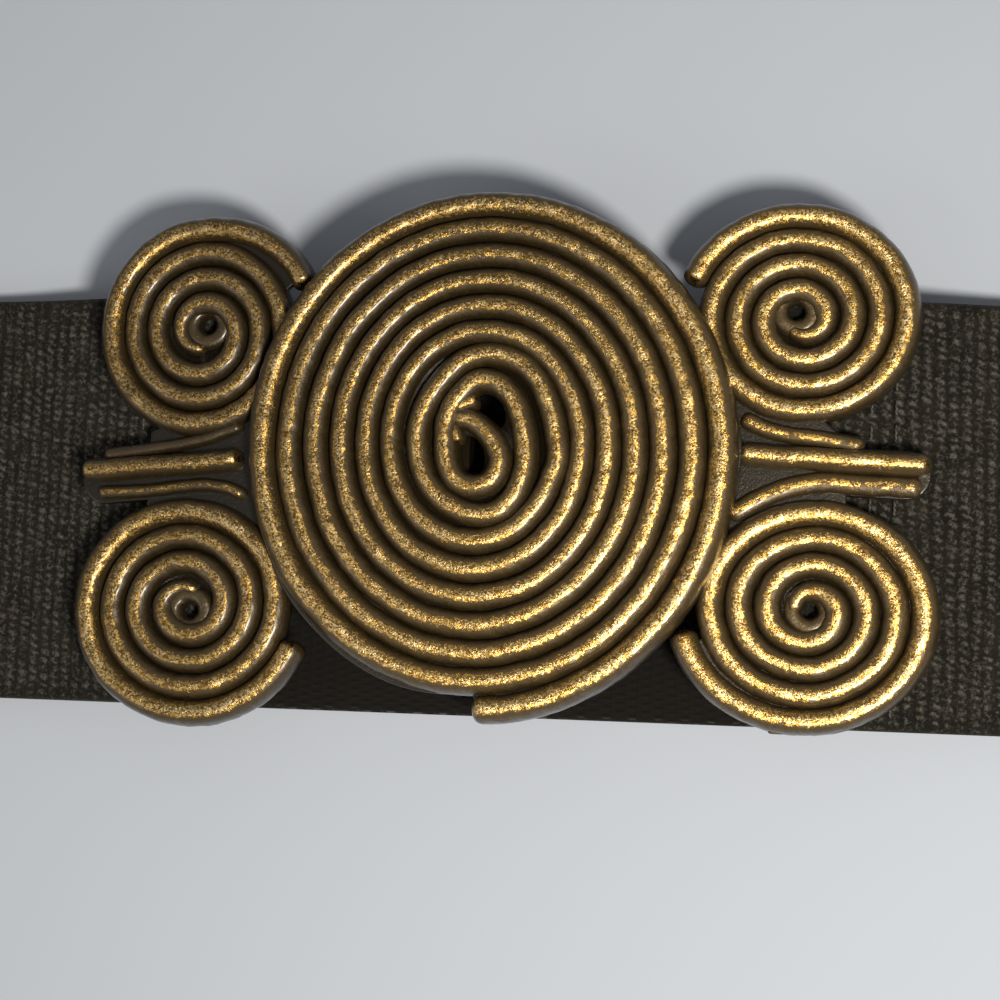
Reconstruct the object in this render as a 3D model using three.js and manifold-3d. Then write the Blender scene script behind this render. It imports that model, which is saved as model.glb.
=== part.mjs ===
// Elastic belt with a two-part spiral clasp, fastened and lying flattened, clasp side up.
// Millimetres. +X runs along the belt, +Y across it, +Z up; the back of the belt lies on z = 0.
import * as THREE from 'three';
import { mergeVertices } from 'three/addons/utils/BufferGeometryUtils.js';
import Module from 'manifold-3d';

const wasm = await Module();
wasm.setup();

const DEGREE = Math.PI / 180;

// Elastic web: one length, turned back round a strap bar at each end of the clasp.
const WEB_WIDTH = 50;
const WEB_THICKNESS = 2;
const WEB_STEP = 3; // spacing of the section's points where the web bends gently
const BEND_STEPS = 10; // facets round each bar and each fold
const MITRE_LIMIT = 0.8; // keeps the web's thickness where its middle line turns sharply
const LIE_GAP = 0.3; // clear space between a piece and whatever it lies on
const SEWN_SPACING = 2.3; // from the middle of a turned-back end to the middle of the web above
const FOLD_X = 171; // where the flattened loop starts to turn over
const FOLD_RADIUS = 4; // middle of the web round a fold
const FOLD_RISE_START = 135; // the front of the loop starts to lift towards its fold here
const SLOPE_START = 34; // the web leaves the bar's level here
const SLOPE_END = 70; // the web reaches the back of the belt here, coming down from the clasp
const SEAM_X = 43; // the turned-back end meets the web above it from here on
const TAIL_X = 48; // cut edge of the turned-back end

// Strap bars: a round bar behind each half of the clasp.
const BAR_X = 33;
const BAR_RADIUS = 1.3;
const BAR_SIDES = 10;
const BAR_POST_WIDTH = 2.6;
const BAR_POST_THICKNESS = 1;
const BAR_POST_DROP = 0.1; // a post reaches this far below its bar
const BAR_Z = WEB_THICKNESS + LIE_GAP + WEB_THICKNESS + LIE_GAP + BAR_RADIUS;
const PLY_RADIUS = BAR_RADIUS + LIE_GAP + WEB_THICKNESS / 2;

// Levels of the castings.
const PLATE_BOTTOM = BAR_Z + PLY_RADIUS + WEB_THICKNESS / 2 + LIE_GAP;
const PLATE_TOP = PLATE_BOTTOM + 1.2;
const JOIN_DEPTH = 0.5; // parts of one casting sink this far into each other
const EDGE_STEP = 0.1; // keeps the faces of two joined blocks from lying in one plane
const CUT_MARGIN = 1; // a cutting tool stands this far clear on either side
const SMALL_CREST = PLATE_TOP + 1.7;
const DISC_BOTTOM = PLATE_TOP + 0.6;
const DISC_TOP = DISC_BOTTOM + 1.4;
const DISC_CREST = DISC_TOP + 1.9;
const FOOT_DEPTH = 0.2; // wires stop this far above the underside of their plate
const FINGER_CREST = PLATE_TOP + 2.3;
const FLANK_CREST = PLATE_TOP + 1.1;
const FLANK_FOOT_RISE = 0.15; // the flanking wires start this much higher than the others

// Cast wires: widths in plan.
const SMALL_WIRE = 2.85;
const DISC_FILL = 0.97; // the disc's wire fills this share of the way to its next turn
const DISC_WIRE = 2.95; // its mean width
const CORE_WIRE = 2.4;
const FINGER_WIRE = 2.9;
const FLANK_WIRE = 1.8;
const TIP_WIRE = 1.5;
const TIP_REACH = 0.3; // a wire's end is rounded over this share of its width
const TIP_NARROW = 0.45; // width at the very end, as a share
const TIP_LIMIT = 0.6; // longest share of the first segment that the rounding takes
const THIN_HEIGHT = 0.5; // share of its height that a wire would keep at no width

// Section of a cast wire: offset as a share of half its width, rise as a share of its height.
const WIRE_SECTION = [
  { side: -1, rise: 0 },
  { side: -1, rise: 0.35 },
  { side: -0.72, rise: 0.8 },
  { side: 0, rise: 1 },
  { side: 0.72, rise: 0.8 },
  { side: 1, rise: 0.35 },
  { side: 1, rise: 0 },
];

// Spirals, from the inner end outwards. hand is +1 where the wire runs anticlockwise as seen
// from above; start is the angle of the inner end; wide is the stretch along the belt; flare is
// how far the outer end swings out of the spiral over the last FLARE_TURNS; drift is how much the
// middle and the stretch change in a turn.
const NO_DRIFT = { x: 0, y: 0, wide: 0 };
const SPIRALS = {
  disc: {
    cx: -2.54, cy: 6.93, r: 7.97, pitch: 3.146, turns: 7.17,
    start: 330, hand: -1, wide: 0.831, flare: 0,
    drift: { x: 0.042, y: -0.106, wide: 0.017 },
  },
  upperLeft: {
    cx: -37.3, cy: 19.9, r: 1.94, pitch: 3.04, turns: 3.73,
    start: 285, hand: -1, wide: 0.96, flare: 1,
  },
  lowerLeft: {
    cx: -37.5, cy: -13.1, r: 1.69, pitch: 3.07, turns: 3.83,
    start: 45, hand: 1, wide: 1.04, flare: 0,
  },
  upperRight: {
    cx: 34.4, cy: 22.1, r: 1.43, pitch: 2.93, turns: 3.87,
    start: 210, hand: 1, wide: 1.055, flare: 0,
  },
  lowerRight: {
    cx: 36.1, cy: -11.6, r: 1.21, pitch: 3, turns: 4.04,
    start: 205, hand: -1, wide: 1.09, flare: 0.3,
  },
};
const FLARE_TURNS = 0.2;
const DISC_STEPS = 32; // facets a turn
const DISC_CLEARANCE = 2; // the left casting's wires stay this far outside the disc's last crest
const SMALL_STEPS = 20;
const EYE_RADIUS = 1.1; // hole in the middle of each small spiral

// The hook in the middle of the disc, from the wire's inner end to the start of its spiral.
const CORE_POINTS = [
  { x: -4.6, y: 9.5 },
  { x: -3.4, y: 9.2 },
  { x: -2, y: 8.1 },
  { x: -0.6, y: 6.5 },
  { x: -0.1, y: 4.6 },
  { x: -0.4, y: 3 },
  { x: -1.4, y: 1.9 },
  { x: -3.2, y: 1.5 },
  { x: -5, y: 2.3 },
  { x: -6.2, y: 4.2 },
  { x: -6.5, y: 6.4 },
  { x: -6.3, y: 9.4 },
  { x: -5.3, y: 11.5 },
  { x: -3.9, y: 13.1 },
  { x: -2.2, y: 13.8 },
  { x: -0.4, y: 13.3 },
  { x: 1.2, y: 11.6 },
  { x: 2.3, y: 9.2 },
  { x: 2.9, y: 6.2 },
];
const CORE_SAMPLES = 30;

// Two holes pierce the disc on either side of that hook.
const CORE_HOLES = [
  { x: -1.5, y: 10.7, long: 2.6, short: 1.6, turn: 124 },
  { x: -3.5, y: 5.3, long: 2.4, short: 1.6, turn: 110 },
];
const HOLE_SIDES = 10;

// Fingers: a round bar between two thinner wires that spread towards the disc.
const LEFT_FINGER = [
  { x: -51.6, y: 2.6 },
  { x: -31.4, y: 4.5 },
];
const LEFT_FLANKS = [
  [
    { x: -49.7, y: 0.1 },
    { x: -43.6, y: 0.5 },
    { x: -37, y: 1.3 },
    { x: -33.6, y: 1.1 },
    { x: -30.8, y: 0 },
  ],
  [
    { x: -49.2, y: 4.7 },
    { x: -43.2, y: 5.5 },
    { x: -37.2, y: 6.7 },
    { x: -31.6, y: 8.6 },
  ],
];
const RIGHT_FINGER = [
  { x: 28.6, y: 6.1 },
  { x: 49.5, y: 5.2 },
];
const RIGHT_FLANKS = [
  [
    { x: 26.4, y: -1 },
    { x: 32.2, y: 2 },
    { x: 37.2, y: 3.1 },
    { x: 42.5, y: 2.9 },
    { x: 48.6, y: 2.7 },
  ],
  [
    { x: 27.6, y: 10.4 },
    { x: 30.6, y: 9.2 },
    { x: 34.8, y: 8.3 },
    { x: 39.5, y: 7.7 },
    { x: 44, y: 7.1 },
  ],
];
const FINGER_PLATE_HALF = 2.8; // also the radius of the plate's round end, which ends with the bar
const FINGER_PLATE_DROP = 1.2; // the plate reaches further below the bar than above it
const FINGER_END_STEPS = 6;
const FINGER_SAMPLES = 4;
const FLANK_SAMPLES = 8;

// Flat webs of metal that join the spirals, the finger and the disc, corners in plan.
const LEFT_WEB = [
  { x: -43.4, y: 7.6 },
  { x: -43.4, y: -1.6 },
  { x: -33, y: -6 },
  { x: -26.5, y: -10 },
  { x: -22, y: -2 },
  { x: -12.6, y: -2 },
  { x: -12.6, y: 14 },
  { x: -22, y: 14 },
  { x: -27.5, y: 20 },
  { x: -33, y: 14 },
];
const RIGHT_WEB = [
  { x: 40, y: 8 },
  { x: 33, y: 14 },
  { x: 22, y: 21 },
  { x: 19, y: 6 },
  { x: 20, y: -9 },
  { x: 33, y: -4 },
  { x: 40, y: -0.5 },
];
const NECK = [
  { x: 25.8, y: 10 },
  { x: 22, y: 18 },
  { x: 18, y: 18 },
  { x: 18, y: -6 },
  { x: 22, y: -6 },
  { x: 25.8, y: 2 },
];
const NECK_TOP = DISC_BOTTOM + JOIN_DEPTH;

// Curved lug along the lower right spiral's edge that carries the lower post of its strap bar:
// angles and radii about the spiral's middle.
const LUG = { from: 232, to: 290, inner: 11.5, outer: 14.7, steps: 6 };

// Hidden clasp: the hook plate hangs on two studs of the left casting, passes through the
// keeper and holds the catch bar on the back of the disc with its turned-up lip.
const CLASP_Y = 6;
const HOOK_THICKNESS = 1.2;
const HOOK_TOP = PLATE_BOTTOM - LIE_GAP;
const HOOK_BOTTOM = HOOK_TOP - HOOK_THICKNESS;
const HOOK_HALF = 6;
const HOOK_LEFT = -28;
const HOOK_RIGHT = -4;
const STUD_X = [-24.5, -18];
const STUD_RADIUS = 1.1;
const STUD_HEAD_RADIUS = 1.9;
const STUD_HEAD_HEIGHT = 0.8;
const STUD_SIDES = 10;
const CATCH_WIDTH = 3;
const CATCH_RIGHT = HOOK_RIGHT - HOOK_THICKNESS - LIE_GAP;
const CATCH_LEFT = CATCH_RIGHT - CATCH_WIDTH;
const CATCH_HALF = 7;
const KEEPER_LEFT = -12;
const KEEPER_RIGHT = -9.2;
const KEEPER_THICKNESS = 1.2;
const KEEPER_LEG = 2;

// Eases from 0 to 1 as u does, level at both ends.
function smooth(u) {
  const t = Math.min(Math.max(u, 0), 1);
  return t * t * (3 - 2 * t);
}

// One closed three.js geometry as a solid.
function solid(geometry) {
  const bare = geometry.clone();
  bare.deleteAttribute('normal');
  bare.deleteAttribute('uv');
  const merged = mergeVertices(bare, 1e-4);
  const mesh = new wasm.Mesh({
    numProp: 3,
    vertProperties: new Float32Array(merged.attributes.position.array),
    triVerts: new Uint32Array(merged.index.array),
  });
  return new wasm.Manifold(mesh);
}

// A finished solid as a named mesh.
function piece(name, body, material) {
  const out = body.getMesh();
  const geometry = new THREE.BufferGeometry();
  geometry.setAttribute('position', new THREE.BufferAttribute(out.vertProperties, 3));
  geometry.setIndex(new THREE.BufferAttribute(out.triVerts, 1));
  geometry.computeVertexNormals();
  const mesh = new THREE.Mesh(geometry, material);
  mesh.name = name;
  return mesh;
}

// Flat plate: an outline in plan between two levels.
function plate(outline, bottom, top) {
  const shape = new THREE.Shape(outline.map((p) => new THREE.Vector2(p.x, p.y)));
  const geometry = new THREE.ExtrudeGeometry(shape, { depth: top - bottom, bevelEnabled: false });
  geometry.translate(0, 0, bottom);
  return solid(geometry);
}

function block(x0, x1, y0, y1, z0, z1) {
  const geometry = new THREE.BoxGeometry(x1 - x0, y1 - y0, z1 - z0);
  geometry.translate((x0 + x1) / 2, (y0 + y1) / 2, (z0 + z1) / 2);
  return solid(geometry);
}

// Upright round post or hole.
function post(x, y, radius, bottom, top, sides) {
  const geometry = new THREE.CylinderGeometry(radius, radius, top - bottom, sides);
  geometry.rotateX(Math.PI / 2);
  geometry.translate(x, y, (bottom + top) / 2);
  return solid(geometry);
}

// Outline of an ellipse in plan, turned by an angle in degrees.
function oval({ x, y, long, short, turn }) {
  const points = [];
  for (let k = 0; k < HOLE_SIDES; k += 1) {
    const a = (k / HOLE_SIDES) * 2 * Math.PI;
    const u = long * Math.cos(a);
    const v = short * Math.sin(a);
    const c = Math.cos(turn * DEGREE);
    const s = Math.sin(turn * DEGREE);
    points.push({ x: x + u * c - v * s, y: y + u * s + v * c });
  }
  return points;
}

// Cast wire: the section carried along points in plan that hold x, y and the wire's width w.
// It stands from foot to crest where it has its full width; a narrower wire is lower as well.
function wire(points, fullWidth, foot, crest) {
  const rings = points.length;
  const around = WIRE_SECTION.length;
  const positions = [];
  points.forEach((p, k) => {
    const before = points[Math.max(k - 1, 0)];
    const after = points[Math.min(k + 1, rings - 1)];
    const along = new THREE.Vector2(after.x - before.x, after.y - before.y).normalize();
    const height = (crest - foot) * (THIN_HEIGHT + ((1 - THIN_HEIGHT) * p.w) / fullWidth);
    WIRE_SECTION.forEach(({ side, rise }) => {
      const offset = (side * p.w) / 2;
      positions.push(p.x + along.y * offset, p.y - along.x * offset, foot + rise * height);
    });
  });
  const index = [];
  for (let k = 0; k < rings - 1; k += 1) {
    for (let j = 0; j < around; j += 1) {
      const next = (j + 1) % around;
      const a = k * around + j;
      const b = k * around + next;
      const c = (k + 1) * around + next;
      const d = (k + 1) * around + j;
      index.push(a, b, c, a, c, d);
    }
  }
  for (let j = 1; j < around - 1; j += 1) {
    const last = (rings - 1) * around;
    index.push(0, j + 1, j, last, last + j, last + j + 1);
  }
  const geometry = new THREE.BufferGeometry();
  geometry.setAttribute('position', new THREE.Float32BufferAttribute(positions, 3));
  geometry.setIndex(index);
  return solid(geometry);
}

// Points of a spiral in plan, from its inner end outwards.
function spiralPoints(row, steps, width) {
  const { cx, cy, r, pitch, turns, start, hand, wide, flare, drift = NO_DRIFT } = row;
  const count = Math.round(turns * steps);
  const points = [];
  for (let k = 0; k <= count; k += 1) {
    const t = (k / count) * turns;
    const angle = (start + hand * 360 * t) * DEGREE;
    const radius = r + pitch * t + flare * smooth((t - turns + FLARE_TURNS) / FLARE_TURNS);
    points.push({
      x: cx + drift.x * t + (wide + drift.wide * t) * radius * Math.cos(angle),
      y: cy + drift.y * t + radius * Math.sin(angle),
      w: width,
    });
  }
  return points;
}

// Distance from the disc's wire to its next turn out, square to the wire, t turns along it.
function discGap(t) {
  const { r, pitch, start, hand, wide, drift } = SPIRALS.disc;
  const angle = (start + hand * 360 * t) * DEGREE;
  const stretch = wide + drift.wide * t;
  const across = new THREE.Vector2(Math.cos(angle), stretch * Math.sin(angle)).normalize();
  const step = new THREE.Vector2(
    drift.x + (stretch * pitch + drift.wide * (r + pitch * t)) * Math.cos(angle),
    drift.y + pitch * Math.sin(angle),
  );
  return across.dot(step);
}

// Smooth points through a short table, all of one width.
function smoothPoints(table, samples, width) {
  const curve = new THREE.SplineCurve(table.map((p) => new THREE.Vector2(p.x, p.y)));
  return curve.getPoints(samples).map((p) => ({ x: p.x, y: p.y, w: width }));
}

// Rounds off a wire's two ends: the end point narrows and its neighbour moves close to it.
function roundEnds(points, width) {
  const tip = (end, inner) => {
    const length = Math.hypot(inner.x - end.x, inner.y - end.y);
    const share = Math.min((TIP_REACH * width) / length, TIP_LIMIT);
    const x = end.x + (inner.x - end.x) * share;
    const y = end.y + (inner.y - end.y) * share;
    return [{ ...end, w: end.w * TIP_NARROW }, { x, y, w: end.w }];
  };
  const [first, second] = points;
  const [last, previous] = [points[points.length - 1], points[points.length - 2]];
  return [
    ...tip(first, second),
    ...points.slice(1, -1),
    ...tip(last, previous).reverse(),
  ];
}

// A small spiral: backing plate out to the wire's last turn, eye in the middle, wire on top.
// The wire grows to its full width over the first half turn.
function smallSpiral(row) {
  const points = spiralPoints(row, SMALL_STEPS, SMALL_WIRE);
  points.forEach((p, k) => {
    const grown = Math.min(k / (SMALL_STEPS / 2), 1);
    p.w = TIP_WIRE + (SMALL_WIRE - TIP_WIRE) * grown;
  });
  const outline = points.slice(-SMALL_STEPS - 1);
  const below = PLATE_BOTTOM - CUT_MARGIN;
  const eye = post(row.cx, row.cy, EYE_RADIUS, below, PLATE_TOP + CUT_MARGIN, HOLE_SIDES);
  const backing = plate(outline, PLATE_BOTTOM, PLATE_TOP).subtract(eye);
  const foot = PLATE_BOTTOM + FOOT_DEPTH;
  return backing.add(wire(roundEnds(points, SMALL_WIRE), SMALL_WIRE, foot, SMALL_CREST));
}

// The large disc: hook in the middle, then the long spiral out to its tail at the bottom.
function disc() {
  const core = smoothPoints(CORE_POINTS, CORE_SAMPLES, CORE_WIRE);
  const outer = spiralPoints(SPIRALS.disc, DISC_STEPS, DISC_WIRE);
  outer.forEach((p, k) => {
    const t = k / DISC_STEPS;
    p.w = CORE_WIRE + (DISC_FILL * discGap(t) - CORE_WIRE) * Math.min(t, 1);
  });
  outer[outer.length - 1].w = TIP_WIRE;
  const points = [...core, ...outer];
  const outline = outer.slice(-DISC_STEPS - 1);
  let backing = plate(outline, DISC_BOTTOM, DISC_TOP);
  CORE_HOLES.forEach((hole) => {
    const tool = plate(oval(hole), DISC_BOTTOM - CUT_MARGIN, DISC_TOP + CUT_MARGIN);
    backing = backing.subtract(tool);
  });
  const foot = DISC_BOTTOM + FOOT_DEPTH;
  return backing.add(wire(roundEnds(points, DISC_WIRE), DISC_WIRE, foot, DISC_CREST));
}

// A finger: rounded plate, round bar in the middle and the two flanking wires.
function finger([from, to], flanks, outerEnd) {
  const direction = Math.atan2(to.y - from.y, to.x - from.x);
  const outer = outerEnd === 'from' ? from : to;
  const inner = outerEnd === 'from' ? to : from;
  const away = outerEnd === 'from' ? direction + Math.PI : direction;
  const outline = [];
  for (let k = 0; k <= FINGER_END_STEPS; k += 1) {
    const a = away - Math.PI / 2 + (k / FINGER_END_STEPS) * Math.PI;
    outline.push({
      x: outer.x + FINGER_PLATE_HALF * (Math.cos(a) - Math.cos(away)),
      y: outer.y + FINGER_PLATE_HALF * (Math.sin(a) - Math.sin(away)) - FINGER_PLATE_DROP,
    });
  }
  [1, -1].forEach((side) => {
    outline.push({
      x: inner.x - Math.sin(away) * FINGER_PLATE_HALF * side,
      y: inner.y + Math.cos(away) * FINGER_PLATE_HALF * side - FINGER_PLATE_DROP,
    });
  });
  const foot = PLATE_BOTTOM + FOOT_DEPTH;
  const bar = smoothPoints([from, to], FINGER_SAMPLES, FINGER_WIRE);
  let body = plate(outline, PLATE_BOTTOM, PLATE_TOP);
  body = body.add(wire(roundEnds(bar, FINGER_WIRE), FINGER_WIRE, foot, FINGER_CREST));
  flanks.forEach((table) => {
    const points = roundEnds(smoothPoints(table, FLANK_SAMPLES, FLANK_WIRE), FLANK_WIRE);
    body = body.add(wire(points, FLANK_WIRE, foot + FLANK_FOOT_RISE, FLANK_CREST));
  });
  return body;
}

// Strap bar across the belt with a post at each end, hung from the casting above.
function strapBar(x) {
  const reach = WEB_WIDTH / 2 + LIE_GAP;
  const half = BAR_POST_WIDTH / 2;
  const length = 2 * reach + BAR_POST_THICKNESS;
  const round = new THREE.CylinderGeometry(BAR_RADIUS, BAR_RADIUS, length, BAR_SIDES);
  round.translate(x, 0, BAR_Z);
  let body = solid(round);
  [1, -1].forEach((side) => {
    const y0 = side > 0 ? reach : -reach - BAR_POST_THICKNESS;
    const y1 = y0 + BAR_POST_THICKNESS;
    const bottom = BAR_Z - BAR_RADIUS - BAR_POST_DROP;
    body = body.add(block(x - half, x + half, y0, y1, bottom, PLATE_BOTTOM + JOIN_DEPTH));
  });
  return body;
}

function leftCasting() {
  const { disc: discRow } = SPIRALS;
  const rim = spiralPoints({ ...discRow, r: discRow.r + DISC_CLEARANCE }, DISC_STEPS, DISC_WIRE);
  const underDisc = plate(rim.slice(-DISC_STEPS - 1), DISC_BOTTOM - LIE_GAP, DISC_CREST);
  let body = plate(LEFT_WEB, PLATE_BOTTOM, PLATE_TOP);
  body = body.add(smallSpiral(SPIRALS.upperLeft));
  body = body.add(smallSpiral(SPIRALS.lowerLeft));
  body = body.add(finger(LEFT_FINGER, LEFT_FLANKS, 'from'));
  body = body.subtract(underDisc);
  body = body.add(strapBar(-BAR_X));
  const headTop = HOOK_BOTTOM - LIE_GAP;
  const headBottom = headTop - STUD_HEAD_HEIGHT;
  const studTop = PLATE_BOTTOM + JOIN_DEPTH;
  STUD_X.forEach((x) => {
    body = body.add(post(x, CLASP_Y, STUD_RADIUS, headTop - JOIN_DEPTH, studTop, STUD_SIDES));
    body = body.add(post(x, CLASP_Y, STUD_HEAD_RADIUS, headBottom, headTop, STUD_SIDES));
  });
  return body;
}

// Outline of the lug: out along its outer arc and back along its inner one.
function lugOutline() {
  const { cx, cy, wide } = SPIRALS.lowerRight;
  const along = Array.from({ length: LUG.steps + 1 }, (_, k) => k / LUG.steps);
  const arc = (radius) => along.map((share) => {
    const angle = (LUG.from + (LUG.to - LUG.from) * share) * DEGREE;
    return { x: cx + wide * radius * Math.cos(angle), y: cy + radius * Math.sin(angle) };
  });
  return [...arc(LUG.outer), ...arc(LUG.inner).reverse()];
}

function rightCasting() {
  let body = plate(RIGHT_WEB, PLATE_BOTTOM, PLATE_TOP);
  body = body.add(plate(NECK, PLATE_TOP - JOIN_DEPTH, NECK_TOP));
  body = body.add(smallSpiral(SPIRALS.upperRight));
  body = body.add(smallSpiral(SPIRALS.lowerRight));
  body = body.add(finger(RIGHT_FINGER, RIGHT_FLANKS, 'to'));
  body = body.add(strapBar(BAR_X));
  body = body.add(plate(lugOutline(), PLATE_BOTTOM + EDGE_STEP, PLATE_TOP - EDGE_STEP));
  body = body.add(disc());
  const catchTop = DISC_BOTTOM + JOIN_DEPTH;
  const low = CLASP_Y - CATCH_HALF;
  const high = CLASP_Y + CATCH_HALF;
  body = body.add(block(CATCH_LEFT, CATCH_RIGHT, low, high, HOOK_TOP + LIE_GAP, catchTop));
  const legInner = HOOK_HALF + LIE_GAP;
  const legOuter = legInner + KEEPER_LEG;
  const keeperTop = HOOK_BOTTOM - LIE_GAP;
  const keeperBottom = keeperTop - KEEPER_THICKNESS;
  const legTop = DISC_BOTTOM + JOIN_DEPTH + EDGE_STEP;
  [legInner, -legOuter].forEach((edge) => {
    const y0 = CLASP_Y + edge;
    const y1 = y0 + KEEPER_LEG;
    body = body.add(block(KEEPER_LEFT, KEEPER_RIGHT, y0, y1, keeperBottom, legTop));
  });
  const bridgeHalf = legOuter - EDGE_STEP;
  const bridge = block(
    KEEPER_LEFT + EDGE_STEP,
    KEEPER_RIGHT - EDGE_STEP,
    CLASP_Y - bridgeHalf,
    CLASP_Y + bridgeHalf,
    keeperBottom + EDGE_STEP,
    keeperTop,
  );
  return body.add(bridge);
}

function claspHook() {
  const low = CLASP_Y - HOOK_HALF;
  const high = CLASP_Y + HOOK_HALF;
  let body = block(HOOK_LEFT, HOOK_RIGHT, low, high, HOOK_BOTTOM, HOOK_TOP);
  const lipLeft = HOOK_RIGHT - HOOK_THICKNESS;
  const lipTop = DISC_BOTTOM - LIE_GAP;
  body = body.add(block(lipLeft, HOOK_RIGHT, low, high, HOOK_TOP - JOIN_DEPTH, lipTop));
  const radius = STUD_RADIUS + LIE_GAP;
  const below = HOOK_BOTTOM - CUT_MARGIN;
  STUD_X.forEach((x) => {
    body = body.subtract(post(x, CLASP_Y, radius, below, HOOK_TOP + CUT_MARGIN, STUD_SIDES));
  });
  return body;
}

// Height of the middle of the front web at a distance from the middle of the clasp.
function frontLevel(distance) {
  const lying = WEB_THICKNESS + LIE_GAP + WEB_THICKNESS / 2;
  const overBar = BAR_Z + PLY_RADIUS;
  const atFold = WEB_THICKNESS / 2 + 2 * FOLD_RADIUS;
  const fallen = smooth((distance - SLOPE_START) / (SLOPE_END - SLOPE_START));
  const risen = smooth((distance - FOLD_RISE_START) / (FOLD_X - FOLD_RISE_START));
  return lying + (overBar - lying) * (1 - fallen) + (atFold - lying) * risen;
}

// Height of the middle of the turned-back end under it.
function tailLevel(distance) {
  const low = BAR_Z - PLY_RADIUS;
  const share = smooth((distance - SLOPE_START) / (SEAM_X - SLOPE_START));
  return low + (frontLevel(distance) - SEWN_SPACING - low) * share;
}

function stations(from, to) {
  const count = Math.max(1, Math.round(Math.abs(to - from) / WEB_STEP));
  return Array.from({ length: count + 1 }, (_, k) => from + ((to - from) * k) / count);
}

// Middle line of half the web, seen from the side, from the cut end to the back of the belt.
function halfWebLine() {
  const line = [];
  stations(TAIL_X, BAR_X).forEach((x) => line.push({ x, z: tailLevel(x) }));
  for (let k = 1; k < BEND_STEPS; k += 1) {
    const a = -Math.PI / 2 - (k / BEND_STEPS) * Math.PI;
    line.push({ x: BAR_X + PLY_RADIUS * Math.cos(a), z: BAR_Z + PLY_RADIUS * Math.sin(a) });
  }
  stations(BAR_X, SLOPE_END).forEach((x) => line.push({ x, z: frontLevel(x) }));
  stations(FOLD_RISE_START, FOLD_X).forEach((x) => line.push({ x, z: frontLevel(x) }));
  const foldZ = WEB_THICKNESS / 2 + FOLD_RADIUS;
  for (let k = 1; k <= BEND_STEPS; k += 1) {
    const a = Math.PI / 2 - (k / BEND_STEPS) * Math.PI;
    line.push({ x: FOLD_X + FOLD_RADIUS * Math.cos(a), z: foldZ + FOLD_RADIUS * Math.sin(a) });
  }
  return line;
}

// The web: its middle line thickened to both sides and carried across the belt's width.
function strap() {
  const half = halfWebLine();
  const mirrored = half.map(({ x, z }) => ({ x: -x, z })).reverse();
  const line = [...half, ...mirrored];
  const sides = [[], []];
  line.forEach((p, k) => {
    const before = line[Math.max(k - 1, 0)];
    const after = line[Math.min(k + 1, line.length - 1)];
    const inward = new THREE.Vector2(p.x - before.x, p.z - before.z).normalize();
    const outward = new THREE.Vector2(after.x - p.x, after.z - p.z).normalize();
    const along = inward.clone().add(outward).normalize();
    const reference = k > 0 ? inward : outward;
    const reach = WEB_THICKNESS / 2 / Math.max(along.dot(reference), MITRE_LIMIT);
    sides[0].push(new THREE.Vector2(p.x - along.y * reach, p.z + along.x * reach));
    sides[1].push(new THREE.Vector2(p.x + along.y * reach, p.z - along.x * reach));
  });
  const shape = new THREE.Shape([...sides[0], ...sides[1].reverse()]);
  const geometry = new THREE.ExtrudeGeometry(shape, { depth: WEB_WIDTH, bevelEnabled: false });
  geometry.rotateX(Math.PI / 2);
  geometry.translate(0, WEB_WIDTH / 2, 0);
  return solid(geometry);
}

const brass = (color, roughness) =>
  new THREE.MeshStandardMaterial({ color, roughness, metalness: 1 });
const webbing = new THREE.MeshStandardMaterial({ color: '#2f2b24', roughness: 0.92, metalness: 0 });

const belt = new THREE.Group();
belt.name = 'belt';
belt.add(piece('right_casting', rightCasting(), brass('#a87c3a', 0.38)));
belt.add(piece('left_casting', leftCasting(), brass('#8f6a34', 0.42)));
belt.add(piece('clasp_hook', claspHook(), brass('#5b4a30', 0.55)));
belt.add(piece('elastic_strap', strap(), webbing));

export default belt;
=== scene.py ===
import bmesh
import bpy
import numpy as np
from mathutils import Matrix


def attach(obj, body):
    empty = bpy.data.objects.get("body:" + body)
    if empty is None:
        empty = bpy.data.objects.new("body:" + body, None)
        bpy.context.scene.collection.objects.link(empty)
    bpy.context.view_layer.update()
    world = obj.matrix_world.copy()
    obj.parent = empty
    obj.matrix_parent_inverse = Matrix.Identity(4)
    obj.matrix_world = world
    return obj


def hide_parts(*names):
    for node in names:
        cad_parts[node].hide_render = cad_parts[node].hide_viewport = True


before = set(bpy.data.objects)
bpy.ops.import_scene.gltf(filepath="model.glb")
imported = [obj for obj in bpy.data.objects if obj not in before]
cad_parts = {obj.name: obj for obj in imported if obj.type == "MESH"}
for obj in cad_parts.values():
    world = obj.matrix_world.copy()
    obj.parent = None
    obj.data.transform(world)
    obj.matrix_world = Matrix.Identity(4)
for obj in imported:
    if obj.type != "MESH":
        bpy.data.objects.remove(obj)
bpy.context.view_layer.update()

# The elastic web: one length of ribbed elastic, woven from dull black cotton over rubber cores.
# It turns back round a bar behind each half of the clasp and runs once round the waist, so that
# it lies here as a flattened loop, with the clasp on its upper side. All sizes are in millimetres.
web_width = 50.0
web_thickness = 2.0
rib_pitch = 1.55  # from rib to rib along the web
bead_pitch = 0.97  # from loop to loop of yarn along a rib
relief = 0.5  # depth of the furrows between ribs and loops
selvedge = 2.2  # the edge band, woven tighter and flatter
tail_x = 48.0  # where each turned-back end was cut
bar_x, bar_z, turn_radius = 33.0, 5.9, 2.6
fold_x, fold_z, fold_radius = 171.0, 5.0, 4.0
modelled_from, modelled_to = 35.2, 68.2  # between these each loop of yarn is modelled
arc_points = 60  # on each turn round a bar or a fold


def ease(u):
    """0 below 0 and 1 above 1, and in between 3u^2 - 2u^3, level at both ends."""
    u = np.clip(u, 0.0, 1.0)
    return u * u * (3 - 2 * u)


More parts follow.
